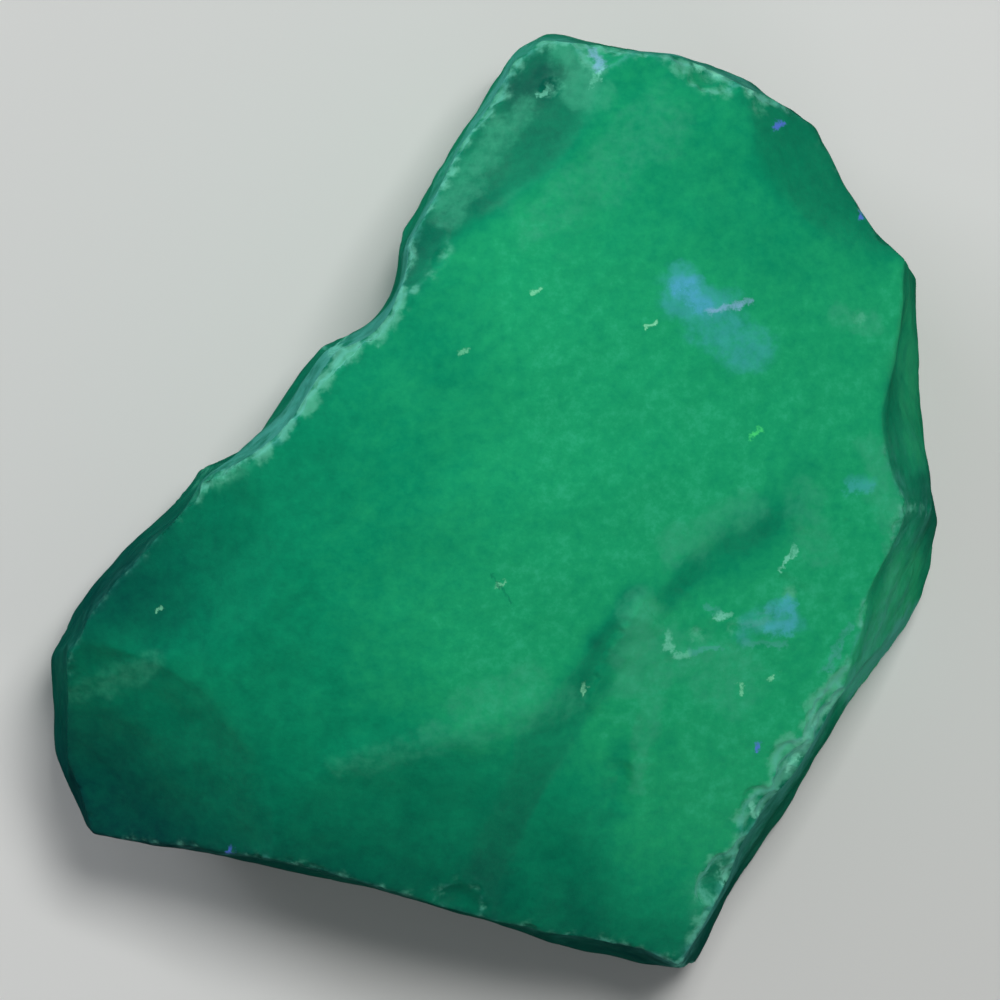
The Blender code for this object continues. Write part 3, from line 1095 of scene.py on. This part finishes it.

# %% [markdown]
# Lint and dust lie on the face as tiny pale flecks, brighter than the glass, and a few of them
# are bluish. The blue and lilac flecks at the bruises and the lilac one at the far edge are painted
# glints. The crushed glass round the bruises and along the scar's rim is a row of pale crumbs.
# Each row is a short line seen from above: its two ends and half its width in millimetres, its
# tint and its strength. The two noises that tear the masks and speckle the glass also bend the
# lines, by up to a millimetre.

# %% Flecks of lint, crumbs and fine lines
FLECK = srgb(140, 226, 180)
GREEN_FLECK = srgb(70, 215, 120)
BLUE_FLECK = srgb(84, 110, 220)
FLECKS = [
    (2.9, 17.5, 3.6, 17.9, 0.20, FLECK, 0.55),
    (12.4, 14.6, 13.3, 15.0, 0.24, FLECK, 0.9),
    (21.2, 5.5, 21.9, 6.1, 0.24, GREEN_FLECK, 0.95),
    (-3.0, 12.5, -2.6, 12.8, 0.20, FLECK, 0.4),
    (0.0, -6.8, 0.3, -6.5, 0.17, FLECK, 0.45),
    (7.0, -15.9, 7.2, -15.3, 0.19, FLECK, 0.7),
    (20.2, -15.9, 20.3, -15.2, 0.19, FLECK, 0.5),
    (22.9, -15.0, 23.2, -14.4, 0.17, FLECK, 0.6),
    (21.7, -20.8, 21.8, -20.4, 0.28, BLUE_FLECK, 0.9),
    (23.4, 31.7, 23.8, 32.0, 0.30, BLUE_FLECK, 0.8),
    (30.6, 24.2, 30.8, 24.5, 0.28, BLUE_FLECK, 0.8),
    (-22.9, -29.6, -22.6, -29.4, 0.28, BLUE_FLECK, 0.8),
    (-28.7, -9.1, -28.2, -8.8, 0.15, FLECK, 0.5),
    (-0.5, -6.0, 1.2, -8.4, 0.13, TEAL, 0.7),
    (24.8, -3.8, 23.8, -5.6, 0.20, PALE, 0.75),
    (17.5, -8.6, 18.7, -9.4, 0.26, RIM, 0.5),
    (18.5, -9.4, 19.2, -9.5, 0.30, PALE, 0.8),
    (23.2, -8.8, 24.2, -8.5, 0.75, BRUISE_GLINT, 0.75),
    (24.5, -8.1, 24.7, -10.1, 0.46, BRUISE_GLINT, 0.7),
    (20.9, -10.1, 22.4, -9.8, 0.35, RIM, 0.7),
    (22.9, -10.4, 24.4, -10.3, 0.70, BRUISE_GLINT, 0.75),
    (20.7, -11.7, 24.1, -11.8, 0.30, RIM, 0.5),
    (14.3, -11.0, 14.3, -12.1, 0.37, PALE, 0.6),
    (14.9, -12.6, 16.0, -12.6, 0.29, PALE, 0.5),
    (16.1, -12.5, 18.4, -11.9, 0.27, RIM, 0.6),
    (29.5, -10.3, 27.6, -14.0, 0.32, RIM, 0.55),
    (29.6, 1.6, 31.2, 1.5, 0.68, BRUISE_GLINT, 0.5),
    (28.2, -16.7, 26.6, -18.4, 0.43, PALE, 0.5),
    (26.0, -19.7, 24.5, -22.3, 0.46, PALE, 0.45),
    (25.3, -21.3, 24.4, -22.5, 0.26, PALE, 0.8),
    (21.6, -25.5, 21.8, -26.2, 0.36, PALE, 0.7),
    (8.1, 38.1, 8.6, 36.6, 0.46, LILAC_GLINT, 0.65),
    (8.7, 36.4, 8.0, 35.0, 0.23, PALE, 0.5),
    (3.7, 34.4, 4.1, 34.8, 0.32, PALE, 0.5),
    (16.7, 36.8, 18.8, 36.2, 0.39, PALE, 0.7),
    (20.8, 35.6, 21.4, 34.7, 0.31, PALE, 0.7),
    (18.9, -30.8, 19.4, -32.3, 0.39, PALE, 0.5),
    (15.1, 18.0, 16.2, 18.3, 0.85, BLUE_GLINT, 0.6),
    (16.1, 17.0, 17.4, 16.5, 0.75, BLUE_GLINT, 0.5),
    (17.9, 16.0, 20.9, 16.7, 0.35, LILAC_GLINT, 0.8),
]
BEND = 0.0020

bend = add(tree, "ShaderNodeCombineXYZ")
tree.links.new(fray, bend.inputs["X"])
tree.links.new(specks, bend.inputs["Y"])
half = (NOISE_MIDDLE, NOISE_MIDDLE, 0.0)
both_ways = vector_maths(tree, "SUBTRACT", bend.outputs[0], half)
flat_place = vector_maths(tree, "MULTIPLY", place, (1.0, 1.0, 0.0))
bent_place = vector_maths(tree, "MULTIPLY_ADD", both_ways, (BEND, BEND, 0.0), flat_place)
above = maths(tree, "SUBTRACT", 1.0, attribute("wall"), clamp=True)
crumbly = spread(tree, specks, From_Min=0.36, From_Max=0.54, To_Min=0.40)
fleck_fade = maths(tree, "MULTIPLY", above, crumbly)
for x, y, x_end, y_end, width, tint, strength in FLECKS:
    mask = use_group(
        fleck,
        Place=bent_place,
        From=(x * MM, y * MM, 0.0),
        Along=((x_end - x) * MM, (y_end - y) * MM, 0.0),
        Width=width * MM,
        Strength=strength,
        Fade=fleck_fade,
    )
    colour = masked(colour, tint, mask)
tree.links.new(colour, shader.inputs["Base Color"])
print("flecks:", len(FLECKS))

# %% Glow, gloss and the fine grain of the skin
GLOW = 0.16
GRAIN_HEIGHT = 0.00012

dim = add(tree, "ShaderNodeMix", {"data_type": "RGBA", "blend_type": "MULTIPLY"})
dim.inputs[0].default_value = 1.0
dim.inputs[COLOUR_OVER].default_value = (GLOW, GLOW, GLOW, 1.0)
tree.links.new(colour, dim.inputs[COLOUR_BELOW])
tree.links.new(dim.outputs[COLOUR_OUT], shader.inputs["Emission Color"])
shader.inputs["Emission Strength"].default_value = 1.0
glass.cycles.emission_sampling = "NONE"

tree.links.new(spread(tree, clouds, To_Min=0.34, To_Max=0.50), shader.inputs["Roughness"])
shader.inputs["IOR"].default_value = 1.52
shader.inputs["Specular IOR Level"].default_value = 0.35

swell = noise(tree, place, Scale=620.0, Detail=4.0, Roughness=0.6)
bump = add(tree, "ShaderNodeBump", Strength=0.6, Distance=GRAIN_HEIGHT)
tree.links.new(swell.outputs["Fac"], bump.inputs["Height"])
tree.links.new(bump.outputs["Normal"], shader.inputs["Normal"])
mesh.materials.clear()
mesh.materials.append(glass)
print("nodes in the glass:", len(tree.nodes))

# %% [markdown]
# ## Joining the lump to the model
# The fine lump stands for the solid of the same shape, which is then not shown but still carries
# the weight and the contacts. It moves with the only body there is.

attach(lump, "root")
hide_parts(NODE)
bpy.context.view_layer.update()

# %% [markdown]
# ## Floor, light and camera
# A pale, plain floor and soft light show the faces without hard reflections. The main lamp stands
# high at the upper right and isn't mirrored, as with a polarising filter, because its reflection
# in the broad face would hide the green from a camera that looks straight down. The floor and the
# sky aren't mirrored either, which keeps the walls green. One low, small lamp is, and only catches
# the ridges. The camera is far away with a long lens, as in the photograph, where the walls
# hardly show.

# %% The floor
FLOOR_HALF = 2.0
PAPER = (0.74, 0.74, 0.73, 1.0)

floor_mesh = bpy.data.meshes.new("floor")
floor_maker = bmesh.new()
bmesh.ops.create_grid(floor_maker, x_segments=1, y_segments=1, size=FLOOR_HALF)
floor_maker.to_mesh(floor_mesh)
floor_maker.free()
floor = bpy.data.objects.new("floor", floor_mesh)
bpy.context.scene.collection.objects.link(floor)
paper = bpy.data.materials.new("pale_paper")
paper.use_nodes = True
paper_shader = paper.node_tree.nodes["Principled BSDF"]
paper_shader.inputs["Base Color"].default_value = PAPER
paper_shader.inputs["Roughness"].default_value = 0.9
floor_mesh.materials.append(paper)
floor.visible_glossy = False
print("floor, m:", 2 * FLOOR_HALF)

# %% Lamps and sky
# Each lamp has a place and a size in metres, a power in watts, a tint, and whether it is mirrored.
LAMPS = {
    "key": ((0.12, 0.20, 0.64), 0.20, 2.75, (1.0, 1.0, 0.98), False),
    "left": ((-0.48, 0.40, 0.12), 0.26, 2.8, (0.93, 0.97, 1.0), False),
    "front": ((0.30, -0.50, 0.30), 0.25, 0.5, (0.96, 0.98, 1.0), False),
    "glint": ((-0.30, 0.52, 0.30), 0.16, 0.2, (0.93, 0.97, 1.0), True),
}
for name, (where, size, power, tint, mirrored) in LAMPS.items():
    bulb = bpy.data.lights.new(name, "AREA")
    bulb.size = size
    bulb.energy = power
    bulb.color = tint
    lamp = bpy.data.objects.new(name, bulb)
    lamp.visible_glossy = mirrored
    lamp.location = where
    lamp.rotation_euler = (-Vector(where)).to_track_quat("-Z", "Y").to_euler()
    bpy.context.scene.collection.objects.link(lamp)

world = bpy.data.worlds.new("soft_sky")
world.use_nodes = True
sky = world.node_tree.nodes["Background"]
sky.inputs["Color"].default_value = (0.95, 0.97, 1.0, 1.0)
sky.inputs["Strength"].default_value = 0.12
world.cycles_visibility.glossy = False
bpy.context.scene.world = world
bpy.context.scene.view_settings.view_transform = "Standard"
print("lamps:", len(LAMPS))

# %% The camera, straight above
PICTURE_WIDTH = 1000
MM_PER_PIXEL = 0.08565
CAMERA_HEIGHT = 620.0
MIDDLE_HEIGHT = 14.0
CAMERA_X = 0.17
CAMERA_Y = 0.26

eye = bpy.data.cameras.new("camera")
eye.sensor_width = 36.0
eye.lens = eye.sensor_width * (CAMERA_HEIGHT - MIDDLE_HEIGHT) / (PICTURE_WIDTH * MM_PER_PIXEL)
eye.clip_start = 0.01
camera = bpy.data.objects.new("camera", eye)
camera.location = (CAMERA_X * MM, CAMERA_Y * MM, CAMERA_HEIGHT * MM)
bpy.context.scene.collection.objects.link(camera)
bpy.context.scene.camera = camera
print("lens, mm:", round(eye.lens, 1))
